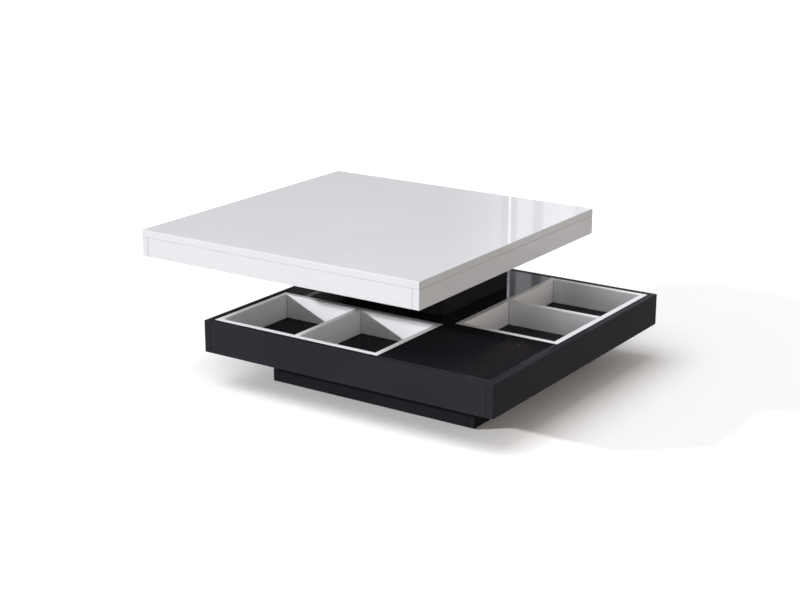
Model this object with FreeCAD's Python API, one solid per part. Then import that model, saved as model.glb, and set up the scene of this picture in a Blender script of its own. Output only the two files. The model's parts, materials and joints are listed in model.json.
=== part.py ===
import FreeCAD, Part
import math
import os

# Swivel coffee table of lacquered boards. The origin is on the floor under the middle of the base, +X runs to the
# right along the front edge of the base, +Y to the back and +Z up. The top is drawn a quarter turn away from the
# place where it covers the base.

# Driving dimensions of the outside, in millimetres
table_side = 800.0              # side of the square base, and of the square top that covers it
plinth_setback = 115.0          # plinth behind the edge of the base, on all sides
plinth_height = 84.5            # height of the plinth boards
base_height = 79.0              # height of the base box
open_height = 130.0             # clear height between the base and the lower edge of the top
top_height = 65.0               # height of the edge of the top
board = 18.0                    # thickness of the lacquered boards and of the inner boards
tray_board = 15.0               # thickness of the tray boards
edge_radius = 1.0               # eased edges of the boards
pedestal_side = 300.0           # side of the square pedestal
pivot_offset = 94.0             # pivot from the base's middle, as far to the left as to the back
pedestal_margin = 52.0          # deck between the pedestal and each tray
tray_gap = 20.0                 # deck between the two trays where they come close

# Inner boards
corner_block_side = 35.0
corner_block_height = 40.0
mounting_board_side = 400.0
batten_width = 60.0

# Floor glides
glide_diameter = 16.0
glide_height = 1.5
glide_edge_radius = 0.6
glide_pin_diameter = 3.0
glide_pin_length = 12.0
glide_inset = 40.0              # glide from the end of its plinth board

# Swivel bearing
bearing_plate_side = 250.0
bearing_plate_thickness = 2.0
bearing_plate_corner = 12.0
race_radius = 92.0              # pitch circle of the balls
race_width = 16.0
race_floor = 1.2                # metal between a groove and its plate
race_gap = 2.0                  # space between the two races
ball_diameter = 8.0
ball_count = 24
ball_clearance = 0.3
cage_thickness = 1.2
cage_width = 12.0
hub_radius = 45.0
hub_wall = 2.5
hub_flange_width = 6.0
hub_flange_thickness = 2.0
hub_clearance = 0.4
hub_room = 4.0                  # free space round the hub flange in the mounting board

# Dowels, cam locks and screws
fit_clearance = 0.05            # radial play of a dowel, bolt or screw in its hole
hole_end_room = 0.5             # play at the blind end of a hole
hole_skin = 6.0                 # wood left past the end of a blind hole in the face of a board
dowel_diameter = 8.0
dowel_length = 30.0
dowel_chamfer = 0.8
dowel_inset = 120.0             # dowel from the end of a rib or rail
cam_diameter = 15.0
cam_depth = 12.5
cam_distance = 34.0             # middle of a cam lock from the end of its board
cam_slot_length = 9.0
cam_slot_width = 1.6
cam_slot_depth = 1.5
cam_bolt_diameter = 6.0
screw_diameter = 4.0
screw_head_diameter = 8.0
screw_head_height = 2.4
screw_tip = 3.0
screw_inset = 60.0              # floor screw from the end of a tray board or rib
screw_corner_inset = 25.0       # corner screw from the edges of its board
bearing_screw_inset = 12.5      # bearing screw from the edges of its plate
bearing_screw_length = 14.0     # under the head

# Levels and places worked out from the driving dimensions
up = FreeCAD.Vector(0, 0, 1)
down = FreeCAD.Vector(0, 0, -1)
ball_radius = ball_diameter / 2
bearing_half = bearing_plate_thickness + race_floor + ball_clearance + ball_radius
base_under_z = glide_height + plinth_height
floor_z = base_under_z + board
base_top_z = base_under_z + base_height
deck_under_z = base_top_z - board
top_under_z = base_top_z + open_height
table_top_z = top_under_z + top_height
panel_under_z = table_top_z - board
mounting_under_z = panel_under_z - board
pedestal_top_z = mounting_under_z - 2 * bearing_half
plinth_side = table_side - 2 * plinth_setback
inner = table_side / 2 - board
pivot = (-pivot_offset, pivot_offset)
top_middle = (-2 * pivot_offset, 0.0)
tray_width = inner - (pivot[0] + pedestal_side / 2 + pedestal_margin)
tray_length = 2 * inner - tray_width - tray_gap
blind_depth = board - hole_skin
floor_screw_length = deck_under_z - base_under_z - hole_skin

nodes = {}


def block(low, high):
    """Plain box between its lowest and highest corners."""
    size = [b - a for a, b in zip(low, high)]
    return Part.makeBox(size[0], size[1], size[2], FreeCAD.Vector(*low))


def eased(solid):
    """The solid with all its edges rounded a little, as lacquered boards are."""
    return solid.makeFillet(edge_radius, solid.Edges)


def eased_board(low, high):
    return eased(block(low, high))


def rod(start, direction, radius, length):
    return Part.makeCylinder(radius, length, start, direction)


def mirrored(shape):
    """The shape mirrored over the diagonal between the front corner and the far corner of the base."""
    return shape.mirror(FreeCAD.Vector(0, 0, 0), FreeCAD.Vector(1, 1, 0))


def drilled(shape, holes):
    """The shape with those of the holes taken out that reach it."""
    near = [hole for hole in holes if hole.BoundBox.intersect(shape.BoundBox)]
    return shape.cut(near) if near else shape


def board_frame(middle, side, low_z, high_z):
    """Four boards on edge round a square: left and right run the full depth."""
    outer = side / 2
    inside = outer - board
    spans = {
        "left": ((-outer, -outer), (-inside, outer)),
        "right": ((inside, -outer), (outer, outer)),
        "front": ((-inside, -outer), (inside, -inside)),
        "back": ((-inside, inside), (inside, outer)),
    }
    frame = {}
    for name, (low, high) in spans.items():
        low_corner = (middle[0] + low[0], middle[1] + low[1], low_z)
        high_corner = (middle[0] + high[0], middle[1] + high[1], high_z)
        frame[name] = eased_board(low_corner, high_corner)
    return frame


def dowel_with_hole(joint, direction):
    """A dowel across a joint face, and its hole. The direction points into the board drilled in its face."""
    joint = FreeCAD.Vector(*joint)
    face_part = blind_depth - hole_end_room
    start = joint - direction * (dowel_length - face_part)
    dowel = rod(start, direction, dowel_diameter / 2, dowel_length)
    rims = [edge for edge in dowel.Edges if edge.Curve.TypeId == "Part::GeomCircle"]
    dowel = dowel.makeChamfer(dowel_chamfer, rims)
    hole_start = start - direction * hole_end_room
    hole = rod(hole_start, direction, dowel_diameter / 2 + fit_clearance, dowel_length + 2 * hole_end_room)
    return dowel, hole


def corner_joints(middle, side):
    """The four corner joints of a frame: joint point on the board's middle, and the signs of x and y."""
    for sign_x in (-1, 1):
        for sign_y in (-1, 1):
            x = middle[0] + sign_x * (side / 2 - board)
            y = middle[1] + sign_y * (side - board) / 2
            yield x, y, sign_x, sign_y


def dowel_levels(low_z, high_z):
    """Two levels, a quarter of the height away from the edges of a board that stands between these levels."""
    quarter = (high_z - low_z) / 4
    return low_z + quarter, high_z - quarter


def corner_dowels(middle, side, low_z, high_z):
    """Two dowels with their holes at each corner of a frame."""
    pairs = []
    for x, y, sign_x, sign_y in corner_joints(middle, side):
        for z in dowel_levels(low_z, high_z):
            pairs.append(dowel_with_hole((x, y, z), FreeCAD.Vector(sign_x, 0, 0)))
    return pairs


def corner_cams(middle, side, low_z, high_z):
    """Cam locks and their bolts at the corners of a frame, and the holes for them."""
    cams = []
    bolts = []
    holes = []
    z = (low_z + high_z) / 2
    for x, y, sign_x, sign_y in corner_joints(middle, side):
        outward = FreeCAD.Vector(0, sign_y, 0)
        along = FreeCAD.Vector(sign_x, 0, 0)
        face = FreeCAD.Vector(x - sign_x * cam_distance, y - sign_y * board / 2, z)
        bolt_start = FreeCAD.Vector(x - sign_x * cam_distance, y, z)
        bolt_length = cam_distance + blind_depth - hole_end_room
        bolt_hole = rod(bolt_start - along * hole_end_room, along, cam_bolt_diameter / 2 + fit_clearance,
                        bolt_length + 2 * hole_end_room)
        cam = rod(face, outward, cam_diameter / 2, cam_depth)
        slot_low = (face.x - cam_slot_length / 2, face.y - cam_slot_depth, z - cam_slot_width / 2)
        slot_high = (face.x + cam_slot_length / 2, face.y + cam_slot_depth, z + cam_slot_width / 2)
        slot = block(slot_low, slot_high)
        cross = slot.copy()
        cross.rotate(face, FreeCAD.Vector(0, 1, 0), 90)
        cams.append(cam.cut([bolt_hole, slot, cross]))
        bolts.append(rod(bolt_start, along, cam_bolt_diameter / 2, bolt_length))
        holes.append(bolt_hole)
        holes.append(rod(face, outward, cam_diameter / 2 + fit_clearance, cam_depth + hole_end_room))
    return cams, bolts, holes


def flat_screw_with_hole(seat, direction, length):
    """A screw with a flat head sunk flush into the seat, driven along the direction, and its hole."""
    seat = FreeCAD.Vector(*seat)
    head_radius = screw_head_diameter / 2
    shank_radius = screw_diameter / 2
    shank_start = seat + direction * screw_head_height
    shank_length = length - screw_head_height - screw_tip
    head = Part.makeCone(head_radius, shank_radius, screw_head_height, seat, direction)
    shank = rod(shank_start, direction, shank_radius, shank_length)
    tip = Part.makeCone(shank_radius, 0, screw_tip, shank_start + direction * shank_length, direction)
    sink = Part.makeCone(head_radius + fit_clearance, shank_radius + fit_clearance, screw_head_height, seat, direction)
    bore = rod(seat, direction, shank_radius + fit_clearance, length + hole_end_room)
    return head.fuse([shank, tip]).removeSplitter(), sink.fuse(bore)


def pan_screw_with_hole(seat, direction, length):
    """A screw whose round head stands on the seat, driven along the direction, and its hole."""
    seat = FreeCAD.Vector(*seat)
    head = rod(seat - direction * screw_head_height, direction, screw_head_diameter / 2, screw_head_height)
    shank = rod(seat, direction, screw_diameter / 2, length - screw_tip)
    tip = Part.makeCone(screw_diameter / 2, 0, screw_tip, seat + direction * (length - screw_tip), direction)
    hole = rod(seat, direction, screw_diameter / 2 + fit_clearance, length + hole_end_room)
    return head.fuse([shank, tip]).removeSplitter(), hole


def split_pairs(pairs):
    """Fasteners and holes as two lists."""
    return [pair[0] for pair in pairs], [pair[1] for pair in pairs]


def square_points(middle, reach):
    """The four points that lie the reach away from the middle along both x and y."""
    return [(middle[0] + x, middle[1] + y) for x in (-reach, reach) for y in (-reach, reach)]


def make_plinth():
    """Set-back frame on glides, with a cross rail, and corner blocks screwed up into the base floor."""
    middle = (0.0, 0.0)
    inside = plinth_side / 2 - board
    boards = board_frame(middle, plinth_side, glide_height, base_under_z)
    pairs = corner_dowels(middle, plinth_side, glide_height, base_under_z)
    for sign in (-1, 1):
        for z in dowel_levels(glide_height, base_under_z):
            pairs.append(dowel_with_hole((sign * inside, 0, z), FreeCAD.Vector(sign, 0, 0)))
    dowels, holes = split_pairs(pairs)
    rail = eased_board((-inside, -board / 2, glide_height), (inside, board / 2, base_under_z))

    glides = []
    side_row = (plinth_side - board) / 2
    end_row = plinth_side / 2 - glide_inset
    places = [(x, y) for x in (-side_row, side_row) for y in (-end_row, end_row)] + [middle]
    for x, y in places:
        disc = rod(FreeCAD.Vector(x, y, 0), up, glide_diameter / 2, glide_height)
        lower_rim = [edge for edge in disc.Edges if edge.BoundBox.ZMax < glide_height / 2]
        disc = disc.makeFillet(glide_edge_radius, lower_rim)
        seat = FreeCAD.Vector(x, y, glide_height)
        pin = rod(seat, up, glide_pin_diameter / 2, glide_pin_length)
        glides.append(disc.fuse(pin).removeSplitter())
        holes.append(rod(seat, up, glide_pin_diameter / 2 + fit_clearance, glide_pin_length + hole_end_room))

    blocks = []
    screws = []
    floor_holes = []
    block_under_z = base_under_z - corner_block_height
    for x, y in square_points(middle, inside - corner_block_side / 2):
        reach = corner_block_side / 2
        corner_block = eased_board((x - reach, y - reach, block_under_z), (x + reach, y + reach, base_under_z))
        screw, hole = flat_screw_with_hole((x, y, block_under_z), up, corner_block_height + blind_depth)
        blocks.append(corner_block.cut(hole))
        screws.append(screw)
        floor_holes.append(hole)

    for name, shape in boards.items():
        nodes["plinth_" + name] = drilled(shape, holes)
    nodes["plinth_cross_rail"] = drilled(rail, holes)
    nodes["plinth_corner_blocks"] = Part.makeCompound(blocks)
    nodes["plinth_dowels"] = Part.makeCompound(dowels)
    nodes["plinth_screws"] = Part.makeCompound(screws)
    nodes["floor_glides"] = Part.makeCompound(glides)
    return floor_holes


def floor_screws_along(low, high):
    """Two screws with holes, up through the base floor into a board that stands between these plan corners."""
    along_x = high[0] - low[0] > high[1] - low[1]
    middle = [(a + b) / 2 for a, b in zip(low, high)]
    pairs = []
    for end, sign in ((low, 1), (high, -1)):
        x = end[0] + sign * screw_inset if along_x else middle[0]
        y = middle[1] if along_x else end[1] + sign * screw_inset
        pairs.append(flat_screw_with_hole((x, y, base_under_z), up, floor_screw_length))
    return pairs


def make_trays():
    """Two trays of white boards that stand on the base floor: one along the front, its mirror image on the right."""
    left = -inner
    right = left + tray_length
    front = -inner
    back = front + tray_width
    divider_left = (left + right - tray_board) / 2
    plans = {
        "front": ((left, front), (right, front + tray_board)),
        "back": ((left, back - tray_board), (right, back)),
        "left": ((left, front + tray_board), (left + tray_board, back - tray_board)),
        "right": ((right - tray_board, front + tray_board), (right, back - tray_board)),
        "divider": ((divider_left, front + tray_board), (divider_left + tray_board, back - tray_board)),
    }
    mirror_names = {"front": "right", "back": "left", "left": "back", "right": "front", "divider": "divider"}
    all_pairs = []
    for name, (low, high) in plans.items():
        pairs = floor_screws_along(low, high)
        wall = eased_board((low[0], low[1], floor_z), (high[0], high[1], base_top_z))
        wall = drilled(wall, [hole for screw, hole in pairs])
        nodes["front_tray_" + name] = wall
        nodes["side_tray_" + mirror_names[name]] = mirrored(wall)
        all_pairs += pairs
    return all_pairs + [(mirrored(screw), mirrored(hole)) for screw, hole in all_pairs]


def make_deck(pedestal_holes):
    """Two black boards flush with the rim, carried by ribs: the main deck and the deck at the front corner."""
    main_low = (-inner, -inner + tray_width)
    main_high = (inner - tray_width, inner)
    corner_low = (-inner + tray_length, -inner)
    corner_high = (inner, inner - tray_length)
    half = board / 2
    pedestal_row = (pedestal_side - board) / 2
    rib_rows = [
        (main_low[0], main_high[0], pivot[1] - pedestal_row),
        (main_low[0], main_high[0], pivot[1] + pedestal_row),
        (main_low[0], main_high[0], main_high[1] - half),
        (corner_low[0], corner_high[0], corner_low[1] + half),
        (corner_low[0], corner_high[0], corner_high[1] - half),
    ]
    ribs = []
    dowel_pairs = []
    screw_pairs = []
    for x_start, x_end, y in rib_rows:
        rib_pairs = floor_screws_along((x_start, y - half), (x_end, y + half))
        rib_dowels = [dowel_with_hole((x, y, deck_under_z), up) for x in (x_start + dowel_inset, x_end - dowel_inset)]
        rib = eased_board((x_start, y - half, floor_z), (x_end, y + half, deck_under_z))
        ribs.append(drilled(rib, [hole for fastener, hole in rib_pairs + rib_dowels]))
        screw_pairs += rib_pairs
        dowel_pairs += rib_dowels
    dowels, dowel_holes = split_pairs(dowel_pairs)

    main = eased_board((main_low[0], main_low[1], deck_under_z), (main_high[0], main_high[1], base_top_z))
    corner = block((corner_low[0], corner_low[1], deck_under_z), (corner_high[0], corner_high[1], base_top_z))
    main_place = block((main_low[0], main_low[1], deck_under_z), (main_high[0], main_high[1], base_top_z))
    corner = eased(corner.cut(main_place))
    nodes["deck_main"] = drilled(main, dowel_holes + pedestal_holes)
    nodes["deck_corner"] = drilled(corner, dowel_holes)
    nodes["deck_ribs"] = Part.makeCompound(ribs)
    nodes["deck_dowels"] = Part.makeCompound(dowels)
    return screw_pairs


def make_base(floor_holes, floor_pairs):
    """Base box: four side boards joined by cam locks and dowels, and the floor dowelled between them."""
    middle = (0.0, 0.0)
    boards = board_frame(middle, table_side, base_under_z, base_top_z)
    cams, bolts, cam_holes = corner_cams(middle, table_side, base_under_z, base_top_z)
    edge_z = base_under_z + board / 2
    tray_right = -inner + tray_length
    tray_back = -inner + tray_width
    front_places = [-inner + tray_length / 4, tray_right - tray_length / 4, (tray_right + inner) / 2]
    left_places = [tray_back - tray_width / 2, (tray_back + inner) / 2]
    half_pairs = [dowel_with_hole((x, -inner, edge_z), FreeCAD.Vector(0, -1, 0)) for x in front_places]
    half_pairs += [dowel_with_hole((-inner, y, edge_z), FreeCAD.Vector(-1, 0, 0)) for y in left_places]
    pairs = corner_dowels(middle, table_side, base_under_z, base_top_z)
    pairs += half_pairs
    pairs += [(mirrored(dowel), mirrored(hole)) for dowel, hole in half_pairs]
    dowels, dowel_holes = split_pairs(pairs)
    screws, screw_holes = split_pairs(floor_pairs)

    floor = eased_board((-inner, -inner, base_under_z), (inner, inner, floor_z))
    for name, shape in boards.items():
        nodes["base_" + name] = drilled(shape, dowel_holes + cam_holes)
    nodes["base_floor"] = drilled(floor, dowel_holes + screw_holes + floor_holes)
    nodes["base_dowels"] = Part.makeCompound(dowels)
    nodes["base_cams"] = Part.makeCompound(cams)
    nodes["base_cam_bolts"] = Part.makeCompound(bolts)
    nodes["base_floor_screws"] = Part.makeCompound(screws)


def make_pedestal(bearing_holes):
    """Square box round the pivot: the foot board is screwed to the deck and the head board carries the bearing."""
    boards_top_z = pedestal_top_z - board
    foot_top_z = base_top_z + board
    inside = pedestal_side / 2 - board
    row = (pedestal_side - board) / 2
    boards = board_frame(pivot, pedestal_side, base_top_z, boards_top_z)
    pairs = corner_dowels(pivot, pedestal_side, base_top_z, boards_top_z)
    for x, y in ((-1, 0), (1, 0), (0, -1), (0, 1)):
        outward = FreeCAD.Vector(x, y, 0)
        foot_joint = (pivot[0] + x * inside, pivot[1] + y * inside, base_top_z + board / 2)
        head_joint = (pivot[0] + x * row, pivot[1] + y * row, boards_top_z)
        pairs.append(dowel_with_hole(foot_joint, outward))
        pairs.append(dowel_with_hole(head_joint, up))
    dowels, dowel_holes = split_pairs(pairs)
    screw_places = square_points(pivot, inside - screw_corner_inset)
    screws, screw_holes = split_pairs([flat_screw_with_hole((x, y, foot_top_z), down, board + blind_depth)
                                       for x, y in screw_places])

    foot = eased_board((pivot[0] - inside, pivot[1] - inside, base_top_z),
                       (pivot[0] + inside, pivot[1] + inside, foot_top_z))
    reach = pedestal_side / 2
    head = eased_board((pivot[0] - reach, pivot[1] - reach, boards_top_z),
                       (pivot[0] + reach, pivot[1] + reach, pedestal_top_z))
    for name, shape in boards.items():
        nodes["pedestal_" + name] = drilled(shape, dowel_holes)
    nodes["pedestal_foot_board"] = drilled(foot, dowel_holes + screw_holes)
    nodes["pedestal_head_board"] = drilled(head, dowel_holes + bearing_holes)
    nodes["pedestal_dowels"] = Part.makeCompound(dowels)
    nodes["pedestal_screws"] = Part.makeCompound(screws)
    return screw_holes


def bearing_plate(seat_z, direction, bore_radius, holes):
    """Square steel plate on its seat with a grooved race on the side that faces the balls."""
    reach = bearing_plate_side / 2
    axis_point = FreeCAD.Vector(pivot[0], pivot[1], seat_z)
    low_z = min(seat_z, seat_z + direction.z * bearing_plate_thickness)
    plate = block((pivot[0] - reach, pivot[1] - reach, low_z),
                  (pivot[0] + reach, pivot[1] + reach, low_z + bearing_plate_thickness))
    upright = [edge for edge in plate.Edges if edge.BoundBox.ZLength > bearing_plate_thickness / 2]
    plate = plate.makeFillet(bearing_plate_corner, upright)
    race_height = bearing_half - race_gap / 2
    race = rod(axis_point, direction, race_radius + race_width / 2, race_height)
    race = race.cut(rod(axis_point, direction, race_radius - race_width / 2, race_height))
    bore = rod(axis_point, direction, bore_radius, bearing_plate_thickness)
    groove = Part.makeTorus(race_radius, ball_radius + ball_clearance, axis_point + direction * bearing_half, up)
    return plate.fuse(race).cut([bore, groove] + holes).removeSplitter()


def make_bearing():
    """Turntable bearing on the pedestal: two plates, caged balls between them, and a hub that holds them together."""
    middle_z = pedestal_top_z + bearing_half
    lower_seat_z = pedestal_top_z + bearing_plate_thickness
    upper_seat_z = mounting_under_z - bearing_plate_thickness
    places = square_points(pivot, bearing_plate_side / 2 - bearing_screw_inset)
    lower = [pan_screw_with_hole((x, y, lower_seat_z), down, bearing_screw_length) for x, y in places]
    upper = [pan_screw_with_hole((x, y, upper_seat_z), up, bearing_screw_length) for x, y in places]
    lower_screws, lower_holes = split_pairs(lower)
    upper_screws, upper_holes = split_pairs(upper)
    nodes["bearing_lower_plate"] = bearing_plate(pedestal_top_z, up, hub_radius - hub_wall, lower_holes)
    nodes["bearing_upper_plate"] = bearing_plate(mounting_under_z, down, hub_radius + hub_clearance, upper_holes)
    nodes["bearing_lower_screws"] = Part.makeCompound(lower_screws)
    nodes["bearing_upper_screws"] = Part.makeCompound(upper_screws)

    axis_point = FreeCAD.Vector(pivot[0], pivot[1], 0)
    flange_z = mounting_under_z + hub_clearance
    flange_top_z = flange_z + hub_flange_thickness
    outline = [
        (hub_radius - hub_wall, lower_seat_z),
        (hub_radius, lower_seat_z),
        (hub_radius, flange_z),
        (hub_radius + hub_flange_width, flange_z),
        (hub_radius + hub_flange_width, flange_top_z),
        (hub_radius - hub_wall, flange_top_z),
    ]
    points = [axis_point + FreeCAD.Vector(radius, 0, z) for radius, z in outline + outline[:1]]
    nodes["bearing_hub"] = Part.Face(Part.makePolygon(points)).revolve(axis_point, up, 360)

    balls = []
    pockets = []
    cage_low = FreeCAD.Vector(pivot[0], pivot[1], middle_z - cage_thickness / 2)
    for index in range(ball_count):
        angle = 2 * math.pi * index / ball_count
        reach = FreeCAD.Vector(race_radius * math.cos(angle), race_radius * math.sin(angle), 0)
        balls.append(Part.makeSphere(ball_radius, axis_point + reach + up * middle_z))
        pockets.append(rod(cage_low + reach, up, ball_radius + ball_clearance, cage_thickness))
    cage = rod(cage_low, up, race_radius + cage_width / 2, cage_thickness)
    cage = cage.cut(rod(cage_low, up, race_radius - cage_width / 2, cage_thickness))
    nodes["bearing_balls"] = Part.makeCompound(balls)
    nodes["bearing_cage"] = cage.cut(pockets)
    return lower_holes, upper_holes


def make_top(bearing_holes):
    """White top: a panel on four rails, with the mounting board for the bearing and two battens under it."""
    inside = table_side / 2 - board
    left = top_middle[0] - inside
    right = top_middle[0] + inside
    front = top_middle[1] - inside
    back = top_middle[1] + inside
    reach = table_side / 2
    row = (table_side - board) / 2
    rails = board_frame(top_middle, table_side, top_under_z, panel_under_z)
    cams, bolts, cam_holes = corner_cams(top_middle, table_side, top_under_z, panel_under_z)
    pairs = corner_dowels(top_middle, table_side, top_under_z, panel_under_z)
    for across in (-row, row):
        for along in (dowel_inset - reach, reach - dowel_inset):
            pairs.append(dowel_with_hole((top_middle[0] + across, top_middle[1] + along, panel_under_z), up))
            pairs.append(dowel_with_hole((top_middle[0] + along, top_middle[1] + across, panel_under_z), up))
    dowels, dowel_holes = split_pairs(pairs)

    half_mount = mounting_board_side / 2
    mount_left = pivot[0] - half_mount
    mount_front = pivot[1] - half_mount
    batten_x = (left + mount_left) / 2
    batten_y = (front + mount_front) / 2
    half_batten = batten_width / 2
    long_batten = eased_board((left, batten_y - half_batten, mounting_under_z),
                              (right, batten_y + half_batten, panel_under_z))
    short_batten = eased_board((batten_x - half_batten, batten_y + half_batten, mounting_under_z),
                               (batten_x + half_batten, back, panel_under_z))
    screw_places = square_points(pivot, half_mount - screw_corner_inset)
    screw_places += [(left + screw_inset, batten_y), (right - screw_inset, batten_y)]
    screw_places += [(batten_x, batten_y + half_batten + screw_inset), (batten_x, back - screw_inset)]
    screws, screw_holes = split_pairs([flat_screw_with_hole((x, y, mounting_under_z), up, board + blind_depth)
                                       for x, y in screw_places])

    mount = eased_board((mount_left, mount_front, mounting_under_z),
                        (pivot[0] + half_mount, pivot[1] + half_mount, panel_under_z))
    hub_space = rod(FreeCAD.Vector(pivot[0], pivot[1], mounting_under_z), up,
                    hub_radius + hub_flange_width + hub_room, board)
    panel = eased_board((top_middle[0] - reach, top_middle[1] - reach, panel_under_z),
                        (top_middle[0] + reach, top_middle[1] + reach, table_top_z))
    for name, shape in rails.items():
        nodes["top_" + name + "_rail"] = drilled(shape, dowel_holes + cam_holes)
    nodes["top_panel"] = drilled(panel, dowel_holes + screw_holes)
    nodes["mounting_board"] = drilled(mount, screw_holes + bearing_holes + [hub_space])
    nodes["top_battens"] = Part.makeCompound([drilled(batten, screw_holes) for batten in (long_batten, short_batten)])
    nodes["top_dowels"] = Part.makeCompound(dowels)
    nodes["top_cams"] = Part.makeCompound(cams)
    nodes["top_cam_bolts"] = Part.makeCompound(bolts)
    nodes["top_screws"] = Part.makeCompound(screws)


lower_bearing_holes, upper_bearing_holes = make_bearing()
plinth_screw_holes = make_plinth()
foot_screw_holes = make_pedestal(lower_bearing_holes)
floor_fasteners = make_trays() + make_deck(foot_screw_holes)
make_base(plinth_screw_holes, floor_fasteners)
make_top(upper_bearing_holes)

os.makedirs("parts", exist_ok=True)
for node_name, node_shape in nodes.items():
    node_shape.exportStep("parts/" + node_name + ".step")
    print(node_name, len(node_shape.Solids), round(node_shape.Volume), node_shape.isValid())
print(len(nodes), "nodes, height", table_top_z)
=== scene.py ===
# %% [markdown]
# # A swivel coffee table in black and white lacquer
#
# The table is a low black box with two white trays let into it, and a white top that swings aside
# on a hidden ball bearing. Nearly all of it is flat board, so its looks come from three things:
# crisp eased edges, a deep gloss, and quiet light that the gloss can show.
#
# The solids are already made, at their real size. They are loaded first as a fixed frame, in metres
# with Z up, and everything below is placed from them. The box round the bare solids is kept, and the
# camera's distance is measured from its middle.

# %% Load the frame
import json
import math

import bmesh
import bpy
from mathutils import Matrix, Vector


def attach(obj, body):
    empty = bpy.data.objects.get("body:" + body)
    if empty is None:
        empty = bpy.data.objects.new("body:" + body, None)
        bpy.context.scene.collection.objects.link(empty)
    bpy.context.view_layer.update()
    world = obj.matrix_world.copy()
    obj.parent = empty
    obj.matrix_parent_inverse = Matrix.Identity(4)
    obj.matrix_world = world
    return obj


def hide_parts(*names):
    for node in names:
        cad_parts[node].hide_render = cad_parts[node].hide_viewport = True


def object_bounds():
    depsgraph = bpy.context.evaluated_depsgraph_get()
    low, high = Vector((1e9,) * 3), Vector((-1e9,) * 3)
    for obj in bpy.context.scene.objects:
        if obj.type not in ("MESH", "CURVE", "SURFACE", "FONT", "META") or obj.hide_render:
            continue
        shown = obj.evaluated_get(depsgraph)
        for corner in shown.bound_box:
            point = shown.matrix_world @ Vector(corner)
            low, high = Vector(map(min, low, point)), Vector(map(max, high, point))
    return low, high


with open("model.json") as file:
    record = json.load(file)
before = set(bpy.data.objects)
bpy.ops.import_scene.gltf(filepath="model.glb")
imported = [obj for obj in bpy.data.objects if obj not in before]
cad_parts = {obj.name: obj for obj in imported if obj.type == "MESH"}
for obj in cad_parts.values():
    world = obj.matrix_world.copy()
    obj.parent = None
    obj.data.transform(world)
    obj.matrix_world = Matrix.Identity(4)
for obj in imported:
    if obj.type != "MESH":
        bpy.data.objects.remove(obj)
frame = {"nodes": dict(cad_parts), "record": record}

scene = bpy.context.scene
cad_low, cad_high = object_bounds()
print("solids:", len(frame["nodes"]), "nodes, box", [round(v, 3) for v in cad_high - cad_low])

# %% [markdown]
# ## The camera
#
# A long lens from well back keeps the table's edges nearly parallel. Its place, its turn and its focal
# length could be found by trying, but the top and the base are squares of known size, so they were
# worked out from the corners of those squares. No shift and no depth of field are used, so that the
# camera can be moved round the table for other views.

# %% Camera
lens_mm = 70.98
sensor_mm = 36.0
view_azimuth = math.radians(34.05)
view_elevation = math.radians(17.0)
eye_point = Vector((1.9872, -3.1005, 1.3078))

camera_data = bpy.data.cameras.new("table_camera")
camera_data.lens = lens_mm
camera_data.sensor_width = sensor_mm
camera_data.sensor_fit = "HORIZONTAL"
camera = bpy.data.objects.new("table_camera", camera_data)
camera.location = eye_point
camera.rotation_euler = (math.pi / 2 - view_elevation, 0.0, view_azimuth)
scene.collection.objects.link(camera)
scene.camera = camera
table_middle = (cad_low + cad_high) / 2
print("camera", round((eye_point - table_middle).length, 2), "m from the table")

# %% [markdown]
# ## Small helpers for node trees
#
# A finish is a tree of nodes. It could be drawn by hand in the shader editor, but a script can be read
# line by line and run again. Four helpers keep every tree short: one adds a node and sets its values,
# one joins two sockets, one gives an input either a plain value or a link, and one does a sum. The
# Geometry Nodes trees further down use the same four.

# %% Nodes and links
def add_node(tree, kind, inputs=None, **settings):
    """A new node of that kind, with its settings and, by socket name, its input values."""
    node = tree.nodes.new(kind)
    for name, value in settings.items():
        setattr(node, name, value)
    for name, value in (inputs or {}).items():
        node.inputs[name].default_value = value
    return node


def join(tree, source, target):
    """A link from one node's output to another node's input."""
    tree.links.new(source, target)


def feed(tree, target, value):
    """Gives an input its value: another node's output, a colour or a plain number."""
    if isinstance(value, bpy.types.NodeSocket):
        join(tree, value, target)
    elif isinstance(value, tuple):
        target.default_value = (*value, 1.0)
    else:
        target.default_value = value


def work_out(tree, operation, first, second):
    """The result of a sum on two values, each an output or a plain number."""
    node = add_node(tree, "ShaderNodeMath", operation=operation)
    feed(tree, node.inputs[0], first)
    feed(tree, node.inputs[1], second)
    return node.outputs[0]


# %% [markdown]
# ### Patterns
#
# Patterns could come from pictures, but noise has no seams, needs no unwrapping and keeps its scale.
# Its values lie round a half and seldom leave the range from 0.3 to 0.7, so that range, or a piece of
# it, is spread out to the values that are wanted. Such a value can then blend two colours. The Mix
# node has a set of sockets for each kind of value, so its colour sockets are picked by number.

# %% Patterns
mix_factor, mix_first, mix_second, mix_result = 0, 6, 7, 2


def noise(tree, place, scale, detail=2.0, roughness=0.5):
    """A cloudy value about 0.5, with features of about 1/scale metres."""
    values = {"Scale": scale, "Detail": detail, "Roughness": roughness}
    node = add_node(tree, "ShaderNodeTexNoise", inputs=values)
    join(tree, place, node.inputs["Vector"])
    return node.outputs["Fac"]


def spread(tree, source, low, high, from_low=0.0, from_high=1.0):
    """The source value, moved smoothly from one range into another."""
    ranges = {"From Min": from_low, "From Max": from_high, "To Min": low, "To Max": high}
    node = add_node(tree, "ShaderNodeMapRange", interpolation_type="SMOOTHSTEP", inputs=ranges)
    join(tree, source, node.inputs["Value"])
    return node.outputs["Result"]


def blend_colours(tree, factor, first, second):
    """A colour between two, each an output or a plain colour."""
    node = add_node(tree, "ShaderNodeMix", data_type="RGBA")
    join(tree, factor, node.inputs[mix_factor])
    feed(tree, node.inputs[mix_first], first)
    feed(tree, node.inputs[mix_second], second)
    return node.outputs[mix_result]


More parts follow.
